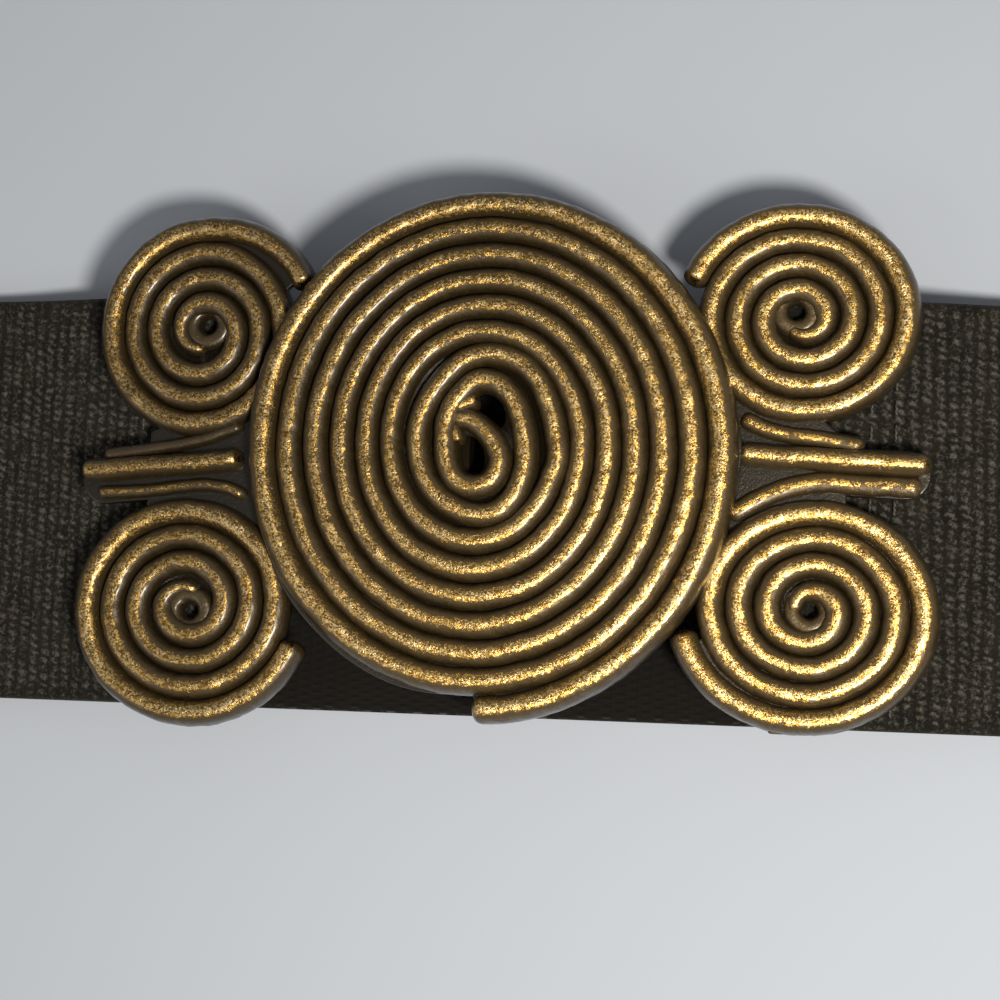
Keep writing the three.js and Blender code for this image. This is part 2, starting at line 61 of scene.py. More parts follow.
def front_level(x):
    """Height of the upper run's middle: 8.5 over the bar, easing down to 3.3 and up to 9 at the fold."""
    return 3.3 + 5.2 * (1 - ease((x - 34) / 36)) + 5.7 * ease((x - 135) / 36)


def tail_level(x):
    """Height of the turned-back end's middle: 3.3 under the bar, and past it, eased over 9 mm, 2.3
    below the upper run's middle."""
    return 3.3 + (front_level(x) - 5.6) * ease((x - 34) / 9)


def arc(centre_x, centre_z, radius, start, end):
    """Points on a circle in the side view: centre plus radius times (cos, sin), angles in degrees."""
    a = np.radians(np.linspace(start, end, arc_points))
    return np.stack([centre_x + radius * np.cos(a), centre_z + radius * np.sin(a)], -1)


def run(x, z):
    """A run of the web in the side view, as pairs of x and height."""
    return np.stack([x, z], -1)


def bumps(points, size, seed, waves=12):
    """Smooth bumps, mostly between -1 and 1: the sum of sines that run in seeded directions, with
    wavelengths near `size`, divided by the square root of twice their number."""
    rng = np.random.default_rng(seed)
    way = rng.normal(size=(waves, points.shape[-1]))
    way /= np.linalg.norm(way, axis=1, keepdims=True)
    way *= 2 * np.pi / size * rng.uniform(0.7, 1.5, (waves, 1))
    return np.sin(points @ way.T + rng.uniform(0, 2 * np.pi, waves)).sum(-1) / np.sqrt(2.0 * waves)


def scatter(a, b):
    """A number from 0 to 1 for each pair of whole numbers: the fraction left by a large sine."""
    return np.modf(np.abs(np.sin(a * 12.9898 + b * 78.233) * 43758.5453))[0]


along_tail = np.linspace(tail_x, bar_x, 150)
along_front = np.linspace(bar_x, fold_x, 1400)
half_line = np.concatenate([
    run(along_tail, tail_level(along_tail)),
    arc(bar_x, bar_z, turn_radius, -90, -270)[1:-1],
    run(along_front, front_level(along_front)),
    arc(fold_x, fold_z, fold_radius, 90, -90)[1:-1],
    run(np.linspace(fold_x, 0, 400), np.full(400, web_thickness / 2)),
])
web_line = np.concatenate([half_line, (half_line * [-1, 1])[::-1][1:]])
web_distance = np.concatenate([[0], np.cumsum(np.linalg.norm(np.diff(web_line, axis=0), axis=1))])
web_length = web_distance[-1]


def on_web(distance):
    """The web's middle line and its outward normal at distances from the cut end: the line between
    its points, and its slope over half a millimetre turned by a right angle."""
    def place(d):
        return np.stack([np.interp(d, web_distance, web_line[:, k]) for k in (0, 1)], -1)

    slope = place(distance + 0.25) - place(distance - 0.25)
    slope /= np.linalg.norm(slope, axis=-1, keepdims=True)
    return place(distance), np.stack([-slope[..., 1], slope[..., 0]], -1)


def quads(rows, columns, first=0, wrap_rows=False, wrap_columns=False):
    """The four corners of each cell of a grid of points, numbered row by row from `first`."""
    r = np.arange(rows if wrap_rows else rows - 1)[:, None]
    c = np.arange(columns if wrap_columns else columns - 1)[None, :]
    r2, c2 = (r + 1) % rows, (c + 1) % columns
    cells = [r * columns + c, r * columns + c2, r2 * columns + c2, r2 * columns + c]
    return first + np.stack([np.broadcast_to(k, cells[0].shape) for k in cells], -1).reshape(-1, 4)


def object_of(name, points, fours, threes, uv, fields, weld=1e-7):
    """A mesh object at the origin from points in millimetres, faces of four and three corners, a UV
    map and fields that hold one number a point; points that coincide are merged at the end."""
    mesh = bpy.data.meshes.new(name)
    corners = np.concatenate([fours.ravel(), threes.ravel()])
    starts = np.concatenate([np.arange(len(fours)) * 4, len(fours) * 4 + np.arange(len(threes)) * 3])
    mesh.vertices.add(len(points))
    mesh.vertices.foreach_set("co", (points * 0.001).astype(np.float32).ravel())
    mesh.loops.add(len(corners))
    mesh.loops.foreach_set("vertex_index", corners.astype(np.int32))
    mesh.polygons.add(len(starts))
    mesh.polygons.foreach_set("loop_start", starts.astype(np.int32))
    mesh.polygons.foreach_set("use_smooth", np.ones(len(starts), bool))
    mesh.update(calc_edges=True)
    mesh.uv_layers.new(name="pattern").data.foreach_set("uv", uv[corners].astype(np.float32).ravel())
    for field, values in fields.items():
        layer = mesh.attributes.new(field, "FLOAT", "POINT")
        layer.data.foreach_set("value", values.astype(np.float32))
    whole = bmesh.new()
    whole.from_mesh(mesh)
    bmesh.ops.remove_doubles(whole, verts=whole.verts, dist=weld)
    whole.to_mesh(mesh)
    whole.free()
    mesh.validate()
    made = bpy.data.objects.new(name, mesh)
    bpy.context.collection.objects.link(made)
    return made


def section(upper_count):
    """Round the web's section: places across its width and their share of half its thickness, over
    the upper face, round one edge, along the lower face and round the other edge back to the start."""
    edge = np.radians([60, 20, -20, -60])
    half, lip = web_width / 2 - 0.7, 0.7
    upper = np.linspace(-half, half, upper_count)
    lower = np.linspace(half, -half, 12)
    y = np.concatenate([upper, half + lip * np.cos(edge), lower, -half - lip * np.cos(edge), upper[:1]])
    side = np.concatenate([upper * 0 + 1, np.sin(edge), lower * 0 - 1, -np.sin(edge), [1.0]])
    return y, side


def web_ring_grid(distance, across, side, fine):
    """The web's surface at each distance along it and each place round its section. The outer and
    inner faces stand off the middle line by half the thickness, less a third of the relief or, where
    `fine`, less a furrow between ribs and between loops of yarn, each loop a dome of its own height."""
    d, y = np.meshgrid(distance, across, indexing="ij")
    wobble = bumps(np.stack([d, y], -1), 11.0, 3)
    rib = d / rib_pitch + 0.10 * wobble
    column = np.floor(rib)
    over = 2 * (rib - column) - 1
    bead = y / bead_pitch + 0.35 * bumps(np.stack([d, y], -1), 14.0, 4)
    bead = bead + fine * (0.30 * over + 0.9 * (scatter(column, 7.0) - 0.5))
    shifted = bead + 0.5 * (1 - column % 2)
    number = np.floor(shifted)
    up = 2 * (shifted - number) - 1
    own = scatter(column, number)
    dome = (1 - np.abs(up) ** 1.8) * (0.45 + 0.55 * own)
    ridge = 1 - np.abs(over + 0.3 * (scatter(number, column) - 0.5)) ** 2.2
    height = np.where(fine > 0, np.maximum(ridge, 0) * (0.2 + 0.8 * dome), 0.67)
    edge_band = ease((web_width / 2 - np.abs(y)) / selvedge)
    full = relief * (0.35 + 0.65 * edge_band)
    lie, out = on_web(d)
    thickness = (web_thickness / 2 - full * (1 - height)) * side[None, :]
    points = np.stack([
        lie[..., 0] + out[..., 0] * thickness,
        y + 0 * thickness,
        lie[..., 1] + out[..., 1] * thickness,
    ], -1)
    return points, np.stack([bead, rib], -1), height * (0.5 + 0.5 * edge_band)


# The web is made in five stretches, from cut end to cut end. The second and the fourth lie on top
# beside the clasp, and have each loop of yarn. The others have a coarse surface with painted loops.
front_start = web_distance[len(along_tail) + arc_points - 2]
ends = [front_start + x - bar_x for x in (modelled_from, modelled_to)]
zones = [0, ends[0], ends[1], web_length - ends[1], web_length - ends[0], web_length]
zones = [round(z / rib_pitch) * rib_pitch for z in zones[:-1]] + [web_length]
plain_y, plain_side = section(12)
fine_y, fine_side = section(262)
web_parts, web_uv, web_height, web_modelled = [], [], [], []
web_fours, web_threes, web_rings = [], [], []
web_count = 0
for zone, (low, high) in enumerate(zip(zones[:-1], zones[1:])):
    fine = float(zone in (1, 3))
    step = rib_pitch * (0.2 if fine else 1.0)
    distance = np.append(np.arange(low + fine * step, high - 0.5 * step, step), high if zone == 4 else [])
    y, side = (fine_y, fine_side) if fine else (plain_y, plain_side)
    points, uv, height = web_ring_grid(distance, y, side, fine)
    web_fours.append(quads(len(distance), len(y), web_count))
    firsts = web_count + np.arange(len(y))
    lasts = firsts + (len(distance) - 1) * len(y)
    web_rings.append((firsts, lasts))
    web_parts.append(points.reshape(-1, 3))
    web_uv.append(uv.reshape(-1, 2))
    web_height.append(height.ravel())
    web_modelled.append(np.full(height.size, fine))
    web_count += height.size


def ring_share(y, side):
    """How far round the section each point lies, from 0 to 1."""
    round_it = np.cumsum(np.hypot(np.diff(y), np.diff(side)))
    return np.concatenate([[0], round_it]) / round_it[-1]


def strip(before, after, share_before, share_after):
    """Triangles between two rings that hold different numbers of points: all points in order of
    their share, each joined to the one before it on its ring and to the last one passed on the other."""
    share = np.concatenate([share_before, share_after])
    first = np.arange(len(share)) < len(before)
    order = np.lexsort([first, share])[2:]
    on_first = first[order]
    i = np.clip(np.cumsum(on_first), 0, len(before) - 1)
    j = np.clip(np.cumsum(~on_first), 0, len(after) - 1)
    apex = np.where(on_first, after[j], before[i])
    start = np.where(on_first, before[np.maximum(i - 1, 0)], after[np.maximum(j - 1, 0)])
    end = np.where(on_first, before[i], after[j])
    flip = on_first[:, None]
    return np.where(flip, np.stack([start, end, apex], -1), np.stack([end, start, apex], -1))


plain_share, fine_share = ring_share(plain_y, plain_side), ring_share(fine_y, fine_side)
for zone in range(4):
    shares = (plain_share, fine_share) if zone in (0, 2) else (fine_share, plain_share)
    web_threes.append(strip(web_rings[zone][1], web_rings[zone + 1][0], *shares))
ring_size = len(plain_y) - 1
for ring, way in ((web_rings[0][0], 1), (web_rings[4][1], -1)):
    middle = np.arange(1, ring_size - 1)
    web_threes.append(np.stack([ring[0] + 0 * middle, ring[middle], ring[middle + 1]][::way], -1))

strap = object_of(
    "elastic_strap_dressed",
    np.concatenate(web_parts),
    np.concatenate(web_fours),
    np.concatenate(web_threes),
    np.concatenate(web_uv),
    {"loop_height": np.concatenate(web_height), "modelled": np.concatenate(web_modelled)},
)


def add(tree, kind, inputs=(), **settings):
    """Adds a shader node, sets its properties, and for each input sets its value or links a socket."""
    made = tree.nodes.new(kind)
    for name, value in settings.items():
        setattr(made, name, value)
    for name, value in dict(inputs).items():
        if isinstance(value, bpy.types.NodeSocket):
            tree.links.new(value, made.inputs[name])
        else:
            made.inputs[name].default_value = value
    return made


def plus(tree, a, b):
    """a + b"""
    return add(tree, "ShaderNodeMath", {0: a, 1: b}, operation="ADD").outputs[0]


def times(tree, a, b):
    """a times b"""
    return add(tree, "ShaderNodeMath", {0: a, 1: b}, operation="MULTIPLY").outputs[0]


def share_of(tree, value, low, high, to_low=0.0, to_high=1.0):
    """Where value lies between low and high, as a number from to_low to to_high, eased and held at
    both ends."""
    made = add(tree, "ShaderNodeMapRange", {0: value, 1: low, 2: high, 3: to_low, 4: to_high})
    made.interpolation_type = "SMOOTHSTEP"
    return made.outputs[0]


def blend(tree, share, a, b):
    """Colour a where share is 0 and colour b where it is 1."""
    made = add(tree, "ShaderNodeMix", data_type="RGBA")
    for socket, value in ((made.inputs[0], share), (made.inputs[6], a), (made.inputs[7], b)):
        if isinstance(value, bpy.types.NodeSocket):
            tree.links.new(value, socket)
        else:
            socket.default_value = value
    return made.outputs[2]


def noise(tree, vector, scale, detail=3.0, roughness=0.55):
    """Blender's noise, from 0 to 1 about a middle of 0.5."""
    values = {"Vector": vector, "Scale": scale, "Detail": detail, "Roughness": roughness}
    return add(tree, "ShaderNodeTexNoise", values).outputs[0]


def bump(tree, shader, height, strength, distance):
    """Tilts the surface as a height pattern would, `distance` metres high at full strength."""
    values = {"Strength": strength, "Distance": distance, "Height": height}
    tree.links.new(add(tree, "ShaderNodeBump", values).outputs[0], shader.inputs["Normal"])


def new_material(name):
    """An empty node material; returns it with its tree and its surface shader."""
    made = bpy.data.materials.new(name)
    made.use_nodes = True
    return made, made.node_tree, made.node_tree.nodes["Principled BSDF"]


# Yarn: painted shade makes it dark down between the loops; it is paler and dusty on top, has loose
# fibres all over, and is painted darkest under the clasp, as painted shade where the clasp shades the
# web. A brick pattern paints the loops that aren't modelled.
yarn, tree, shader = new_material("black_elastic_yarn")
place = add(tree, "ShaderNodeTexCoord").outputs["Object"]
weave = add(tree, "ShaderNodeUVMap", uv_map="pattern").outputs[0]
loops = add(tree, "ShaderNodeTexBrick", {
    "Vector": weave, "Color1": (0, 0, 0, 1), "Color2": (1, 1, 1, 1), "Mortar": (0.5, 0.5, 0.5, 1),
    "Scale": 1.0, "Mortar Size": 0.42, "Mortar Smooth": 1.0, "Brick Width": 1.0, "Row Height": 1.0,
}, offset=0.5, offset_frequency=2)
painted_loop = share_of(tree, loops.outputs["Fac"], 1.0, 0.0)
modelled = add(tree, "ShaderNodeAttribute", attribute_name="modelled").outputs["Fac"]
painted_loop = times(tree, painted_loop, plus(tree, 1.0, times(tree, modelled, -1.0)))
rise = add(tree, "ShaderNodeAttribute", attribute_name="loop_height").outputs["Fac"]
rise = times(tree, rise, plus(tree, painted_loop, modelled))
dust = noise(tree, place, 260.0, 4.0)
fibre = noise(tree, place, 5200.0, 2.0)
tint = noise(tree, place, 1150.0, 1.0)
tuft = noise(tree, place, 2300.0, 3.0, 0.65)
loose = plus(tree, times(tree, plus(tree, fibre, -0.5), 0.8), times(tree, plus(tree, tuft, -0.5), 2.2))
# Painted shade: the colour goes from nearly black where the loops sink into the furrows to paler on their
# tops.
shade = share_of(tree, plus(tree, times(tree, rise, 0.85), loose), 0.15, 1.15)
furrow_shade_yarn = blend(tree, tint, (0.004, 0.0034, 0.002, 1), (0.008, 0.0072, 0.0055, 1))
pale_yarn = blend(tree, tint, (0.055, 0.050, 0.038, 1), (0.110, 0.105, 0.090, 1))
yarn_colour = blend(tree, shade, furrow_shade_yarn, pale_yarn)
dusty = share_of(tree, dust, 0.35, 0.75, 0.0, 0.20)
yarn_colour = blend(tree, dusty, yarn_colour, (0.036, 0.032, 0.024, 1))
# Painted shade: within 26 mm of the middle, under the clasp, the yarn is painted nearly black, easing back
# over the next 14 mm.
along = add(tree, "ShaderNodeSeparateXYZ", {0: place}).outputs[0]
from_middle = add(tree, "ShaderNodeMath", {0: along}, operation="ABSOLUTE").outputs[0]
clear_of_clasp_shade = share_of(tree, from_middle, 0.026, 0.040)
yarn_colour = blend(tree, clear_of_clasp_shade, (0.006, 0.005, 0.004, 1), yarn_colour)
tree.links.new(yarn_colour, shader.inputs["Base Color"])
shader.inputs["Roughness"].default_value = 0.9
shader.inputs["Specular IOR Level"].default_value = 0.15
shader.inputs["Sheen Weight"].default_value = 0.05
shader.inputs["Sheen Roughness"].default_value = 0.5
bump(tree, shader, plus(tree, times(tree, fibre, 0.25), painted_loop), 0.8, 0.00035)
strap.data.materials.append(yarn)
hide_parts("elastic_strap")
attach(strap, "root")

# The seams: black thread in two rows of straight stitches across the web at each end of the clasp,
# sewn by machine through the upper run and the turned-back end under it.
stitch_length, stitch_pitch, thread_radius = 2.3, 2.9, 0.20
seam_half = 22.5  # how far the rows reach from the web's middle line
seam_rows = (42.6, 45.4)


def stitch_grid(x, y, z, way, around=7, steps=8):
    """Stitches as rows of rings: a round thread along Y that sinks at both ends, its middle at height
    z plus way times a sine arch, its radius falling to nothing at the ends."""
    t = np.linspace(0, 1, steps)[None, :, None]
    a = np.linspace(0, 2 * np.pi, around, endpoint=False)[None, None, :]
    radius = thread_radius * np.sqrt(np.maximum(1 - (2 * t - 1) ** 4, 0))
    x, y, z = (k[:, None, None] for k in (x, y, z))
    arch = z + way * (0.16 * np.sin(np.pi * t) - 0.32)
    points = np.stack([
        x + radius * np.cos(a) + 0 * t,
        y + stitch_length * (t - 0.5) + 0 * a,
        arch + radius * np.sin(a),
    ], -1)
    return points


def turn_outwards(made):
    """Turns the faces of a closed mesh outwards."""
    whole = bmesh.new()
    whole.from_mesh(made.data)
    bmesh.ops.recalc_face_normals(whole, faces=whole.faces)
    whole.to_mesh(made.data)
    whole.free()


stitch_y = np.arange(-seam_half, seam_half + 0.1, stitch_pitch)
seam_points, seam_faces = [], []
for x in [side * row for side in (-1, 1) for row in seam_rows]:
    top = front_level(np.array(abs(x))) + web_thickness / 2
    underside = tail_level(np.array(abs(x))) - web_thickness / 2
    for z, way in ((top, 1), (underside, -1)):
        grid = stitch_grid(np.full(len(stitch_y), x), stitch_y, np.full(len(stitch_y), z), way)
        for one in grid:
            seam_faces.append(quads(*one.shape[:2], sum(map(len, seam_points)), wrap_columns=True))
            seam_points.append(one.reshape(-1, 3))
seams = object_of(
    "seam_stitches", np.concatenate(seam_points), np.concatenate(seam_faces),
    np.zeros((0, 3), int), np.concatenate(seam_points)[:, :2], {},
)
turn_outwards(seams)
thread, tree, shader = new_material("black_sewing_thread")
place = add(tree, "ShaderNodeTexCoord").outputs["Object"]
twist = add(tree, "ShaderNodeTexWave", {
    "Vector": place, "Scale": 900.0, "Distortion": 1.5,
}, bands_direction="DIAGONAL").outputs["Fac"]
thread_colour = blend(tree, twist, (0.014, 0.012, 0.010, 1), (0.060, 0.055, 0.046, 1))
tree.links.new(thread_colour, shader.inputs["Base Color"])
shader.inputs["Roughness"].default_value = 0.6
bump(tree, shader, twist, 0.6, 0.0001)
seams.data.materials.append(thread)
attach(seams, "root")

# The left half of the clasp: one antique-brass casting of two small spirals, a short finger and the
# tongue that passes under the disc, cast from a wax of coiled wire, blackened, then rubbed so that
# the crests shine. Behind it are the strap bar and two headed studs.
plate_bottom, plate_top = 9.8, 11.0
small_crest, finger_crest, flank_crest = 12.7, 13.3, 12.1  # heights of the wires' crests
finger_wire = 2.9
tip_share = 0.5  # a wire's width at its inner end, as a share of its full width
wire_overlap = 1.04  # neighbouring turns run into each other at their feet
foot_depth = 0.2
eye_radius, collar_crest = 1.1, 11.8
finger_plate_half, finger_plate_drop = 2.8, 1.2  # half its width, and how far it hangs below the bar
bar_radius, bar_half, post_depth = 1.3, 25.6, 0.6


def spiral(cx, cy, r, pitch, turns, start, hand, wide, flare, drift=(0, 0, 0), per_turn=180):
    """A spiral in plan from its inner end: the angle turns by `hand`, the radius grows by `pitch` a
    turn and by `flare` over the last fifth of a turn, and X is stretched by `wide`. `drift` is what a
    turn adds to the middle's X and Y and to `wide`."""
    t = np.arange(int(turns * per_turn) + 1) / per_turn
    angle = np.radians(start + hand * 360 * t)
    radius = r + pitch * t + flare * ease((t - turns + 0.2) / 0.2)
    x = cx + drift[0] * t + (wide + drift[2] * t) * radius * np.cos(angle)
    return np.stack([x, cy + drift[1] * t + radius * np.sin(angle)], -1)


def turn_gap(cx, cy, r, pitch, turns, *others, per_turn=180):
    """How far the next turn lies from each point of a spiral, square to the wire: the step from the
    point to the one a turn later, along the line's normal."""
    longer = spiral(cx, cy, r, pitch, turns + 1, *others[:3], 0.0, *others[4:], per_turn=per_turn)
    here, later = longer[:-per_turn], longer[per_turn:]
    normal = np.gradient(here, axis=0)[:, ::-1] * [1, -1]
    normal /= np.linalg.norm(normal, axis=1, keepdims=True)
    return np.abs(((later - here) * normal).sum(1))


def curve_through(points, per_span=24):
    """A smooth line through a few points: on each span the Catmull-Rom cubic of its four neighbours."""
    p = np.asarray(points, float)
    p = np.concatenate([2 * p[:1] - p[1:2], p, 2 * p[-1:] - p[-2:-1]])
    t = np.linspace(0, 1, per_span, endpoint=False)[None, :, None]
    a, b, c, d = (p[k:len(p) - 3 + k, None] for k in range(4))
    span = b + 0.5 * t * (c - a + t * (2 * a - 5 * b + 4 * c - d + t * (3 * b - 3 * c + d - a)))
    return np.concatenate([span.reshape(-1, 2), p[-2:-1]])


def part(points, uv, crown, wrap_rows=False, wrap_columns=False):
    """One closed surface of a casting: its grid of points, pattern, rubbed crown and how it closes."""
    return points, uv, crown, wrap_rows, wrap_columns


def wire(line, width, full, foot, crest, outer=None, around=18, step=0.36, tip=1.1):
    """A cast wire: its section, a half oval 1 - |side|^2.5 high to the power 0.4 on a flat base, is
    carried along `line` in plan. Width and height fall to nothing over `tip` at both ends, as on a
    ball, and the surface has low lumps. `outer` is how far the side away from the spiral is bare."""
    run_length = np.concatenate([[0], np.cumsum(np.linalg.norm(np.diff(line, axis=0), axis=1))])
    total = run_length[-1]
    ends = tip * (1 - np.cos(np.linspace(0, np.pi / 2, 7)))
    s = np.concatenate([ends, np.arange(tip + step, total - tip - step / 2, step), total - ends[::-1]])

    def at(values):
        return np.interp(s, run_length, values)

    middle = np.stack([at(line[:, 0]), at(line[:, 1])], -1)
    way = np.stack([np.interp(s + 0.2, run_length, line[:, k]) - np.interp(s - 0.2, run_length, line[:, k])
                    for k in (0, 1)], -1)
    way /= np.linalg.norm(way, axis=1, keepdims=True)
    ball = np.sqrt(np.maximum(1 - (1 - np.clip(np.minimum(s, total - s) / tip, 0, 1)) ** 2, 0))
    w = at(np.broadcast_to(width, len(line)).astype(float))
    angle = np.linspace(np.pi, 0, around)[None, :]
    side = np.sign(np.cos(angle)) * np.abs(np.cos(angle)) ** 0.8
    rise = np.sin(angle) ** 0.8
    height = ((crest - foot) * (0.5 + 0.5 * w / full) * ball)[:, None]
    spot = np.stack([middle[:, :1] + side, middle[:, 1:] + side * 0.5, 2.0 * rise + 0 * middle[:, :1]], -1)
    lump = 0.045 * bumps(spot, 2.2, 11) + 0.028 * bumps(spot, 0.9, 12)
    sway = 0.06 * bumps(middle, 9.0, 13)[:, None]
    reach = (w / 2 * ball)[:, None] * side + (lump * side + sway) * ball[:, None]
    points = np.stack([
        middle[:, :1] + way[:, 1:] * reach,
        middle[:, 1:] - way[:, :1] * reach,
        foot + rise * (height + lump * ball[:, None]),
    ], -1)
    bare = at(np.zeros(len(line)) if outer is None else outer)[:, None]
    crown = 1 - np.abs(side) * (1 - 0.45 * np.clip(bare * np.sign(side), 0, 1))
    uv = np.stack([s[:, None] + 0 * side, 0 * s[:, None] + side * w[:, None] / 2], -1)
    return part(points, uv, crown, wrap_columns=True)


def slab(outline, bottom, top, inner=None, soft=0.22, crown=-0.6):
    """A flat plate with rounded rims: each outline point is joined to the middle, or to a point of
    the hole `inner`, and the profile goes out along the underside, up the rim and back on top."""
    outline = np.asarray(outline, float)
    core = outline.mean(0) + 0 * outline if inner is None else np.asarray(inner, float)
    length = np.linalg.norm(outline - core, axis=1)[None, :, None]
    inset = np.clip(np.array([0, 2.0, 1.0, 0.29, 0, 0, 0.29, 1.0, 2.0])[:, None, None] * soft, 0, length / 3)
    share = 1 - inset / length
    share[0] = 0
    level = np.array([bottom, bottom, bottom, bottom + 0.29 * soft, bottom + soft,
                      top - soft, top - 0.29 * soft, top, top])
    flat = core[None] + share * (outline - core)[None]
    flat = np.concatenate([flat, flat[:1]])
    level = np.append(level, top)[:, None, None] + 0 * flat[..., :1]
    points = np.concatenate([flat, level], -1)
    grain = crown + 0.06 * bumps(points, 1.5, 21)
    return part(points, flat.copy(), grain, wrap_rows=inner is not None, wrap_columns=True)


def box_outline(x0, x1, y0, y1, corner=0.35):
    """A rectangle in plan with rounded corners, four points to each quarter circle."""
    quarter = np.radians(np.concatenate([np.linspace(k, k + 90, 4) for k in (0, 90, 180, 270)]))
    sx = np.repeat([x1 - corner, x0 + corner, x0 + corner, x1 - corner], 4)
    sy = np.repeat([y1 - corner, y1 - corner, y0 + corner, y0 + corner], 4)
    return np.stack([sx + corner * np.cos(quarter), sy + corner * np.sin(quarter)], -1)


def circle_outline(x, y, radius, count=24):
    """A circle in plan: its middle plus radius times (cos, sin)."""
    a = np.linspace(0, 2 * np.pi, count, endpoint=False)
    return np.stack([x + radius * np.cos(a), y + radius * np.sin(a)], -1)


def small_spiral(row, eye_x, eye_y):
    """A small spiral: its wire grows to full width over half a turn, and lies on a plate that
    reaches the middle of the last turn and is pierced near the middle, inside a low collar."""
    line = spiral(*row)
    turn = np.linspace(0, row[4], len(line))
    gap = wire_overlap * turn_gap(*row)[:len(line)]
    width = gap * (tip_share + (1 - tip_share) * np.clip(2 * turn, 0, 1))
    outer = ease((turn - row[4] + 1.1) / 0.3) * -row[6]
    coil = wire(line, width, gap.mean(), plate_bottom + foot_depth, small_crest, outer)
    rim = spiral(*row, per_turn=72)[-73:-1]
    around_eye = np.arctan2(*(rim - [eye_x, eye_y]).T[::-1])
    eye = [eye_x, eye_y] + eye_radius * np.stack([np.cos(around_eye), np.sin(around_eye)], -1)
    ring = circle_outline(eye_x, eye_y, eye_radius + 0.9, 40)
    ring = np.concatenate([ring, ring[:6]])
    points, uv, crown, *_ = wire(ring, 2.2, 2.2, plate_bottom + foot_depth, collar_crest, tip=0.6)
    collar = part(points, uv, crown * 0.6, wrap_columns=True)
    return [coil, collar, slab(rim, plate_bottom, plate_top - 0.04, inner=eye, crown=-0.5)]


def finger(start, end, flanks, tip_first):
    """A finger: a round bar on a plate with one round end, between thinner wires. Each flank is its
    points, its width, its crest and how much of it is rubbed."""
    start, end = np.asarray(start, float), np.asarray(end, float)
    tip_end, root = (start, end) if tip_first else (end, start)
    away = (tip_end - root) / np.linalg.norm(tip_end - root)
    across = np.array([-away[1], away[0]])
    a = np.linspace(-np.pi / 2, np.pi / 2, 13)[:, None]
    drop = np.array([0, finger_plate_drop])
    cap = tip_end - drop + finger_plate_half * ((np.cos(a) - 1) * away + np.sin(a) * across)
    sides = np.linspace(0.05, 1, 12)[:, None]
    plate_root = root - drop - 3 * away
    left = cap[-1] + sides * (plate_root + finger_plate_half * across - cap[-1])
    right = cap[0] + sides * (plate_root - finger_plate_half * across - cap[0])
    outline = np.concatenate([cap, left, right[::-1]])
    line = np.linspace(start, end, 80)
    made = [slab(outline, plate_bottom, plate_top + 0.04)]
    foot = plate_bottom + foot_depth
    points, uv, crown, *_ = wire(line, finger_wire, finger_wire, foot, finger_crest)
    made.append(part(points, uv, crown * 0.8 + 0.2, wrap_columns=True))
    for table, width, crest, rubbed in flanks:
        points, uv, crown, *_ = wire(curve_through(table), width, width, foot + 0.15, crest, around=14)
        made.append(part(points, uv, crown * rubbed, wrap_columns=True))
    return made


def strap_bar(x):
    """The round bar across the belt that the web turns round, and the post at each of its ends."""
    a = np.linspace(0, 2 * np.pi, 24, endpoint=False)[None, :]
    shaft = np.linspace(0.1 - bar_half, bar_half - 0.1, 40)
    y = np.concatenate([[-bar_half, -bar_half], shaft, [bar_half, bar_half]])[:, None]
    radius = bar_radius * np.concatenate([[0, 0.97], np.ones(40), [0.97, 0]])[:, None]
    points = np.stack([x + radius * np.cos(a), y + 0 * a, bar_z + radius * np.sin(a)], -1)
    made = [part(points, points[..., :2], 0.3 + 0 * points[..., 0], wrap_columns=True)]
    for low in (bar_half + 0.15 - post_depth, -bar_half - 0.15):
        post = box_outline(x - bar_radius, x + bar_radius, low, low + post_depth)
        made.append(slab(post, 4.5, plate_bottom + 0.6, crown=0.15))
    return made


def casting(name, parts):
    """Joins the closed surfaces of one casting in one mesh, all faces turned outwards."""
    points, faces, uv, crown, count = [], [], [], [], 0
    for grid, pattern, top, wrap_rows, wrap_columns in parts:
        rows, columns = grid.shape[:2]
        faces.append(quads(rows, columns, count, wrap_rows, wrap_columns))
        points.append(grid.reshape(-1, 3))
        uv.append(pattern.reshape(-1, 2))
        crown.append(np.broadcast_to(top, grid.shape[:2]).ravel())
        count += rows * columns
    made = object_of(name, np.concatenate(points), np.concatenate(faces), np.zeros((0, 3), int),
                     np.concatenate(uv), {"crown": np.concatenate(crown)})
    turn_outwards(made)
    return made


def plate_outline(corners):
    """An outline in plan through the corners of a plate: six points to each straight side."""
    corners = np.array(corners, float)
    sides = zip(corners, np.roll(corners, -1, axis=0))
    return np.concatenate([np.linspace(a, b, 6, endpoint=False) for a, b in sides])


upper_left = (-37.3, 19.9, 1.94, 3.04, 3.73, 285, -1, 0.96, 1.0)
lower_left = (-37.5, -13.1, 1.69, 3.07, 3.83, 45, 1, 1.04, 0.0)
left_parts = small_spiral(upper_left, -36.8, 20.8) + small_spiral(lower_left, -37.3, -13.8)

# The plate that joins the spirals and the finger and goes on under the disc as the tongue.
left_parts.append(slab(plate_outline([
    (-43.4, 7.6), (-43.4, -1.6), (-33, -6), (-26.5, -10), (-22, -2),
    (-12.6, -2), (-12.6, 14), (-22, 14), (-27.5, 20), (-33, 14),
]), plate_bottom, plate_top))
left_parts += finger((-51.6, 2.6), (-31.4, 4.5), [
    ([(-49.7, 0.1), (-43.6, 0.5), (-37, 1.3), (-33.6, 1.1), (-30.8, 0)], 1.8, flank_crest, 0.82),
    ([(-49.2, 4.7), (-43.2, 5.5), (-37.2, 6.7), (-31.6, 8.6)], 1.8, flank_crest, 0.5),
], True)
left_parts += strap_bar(-bar_x)

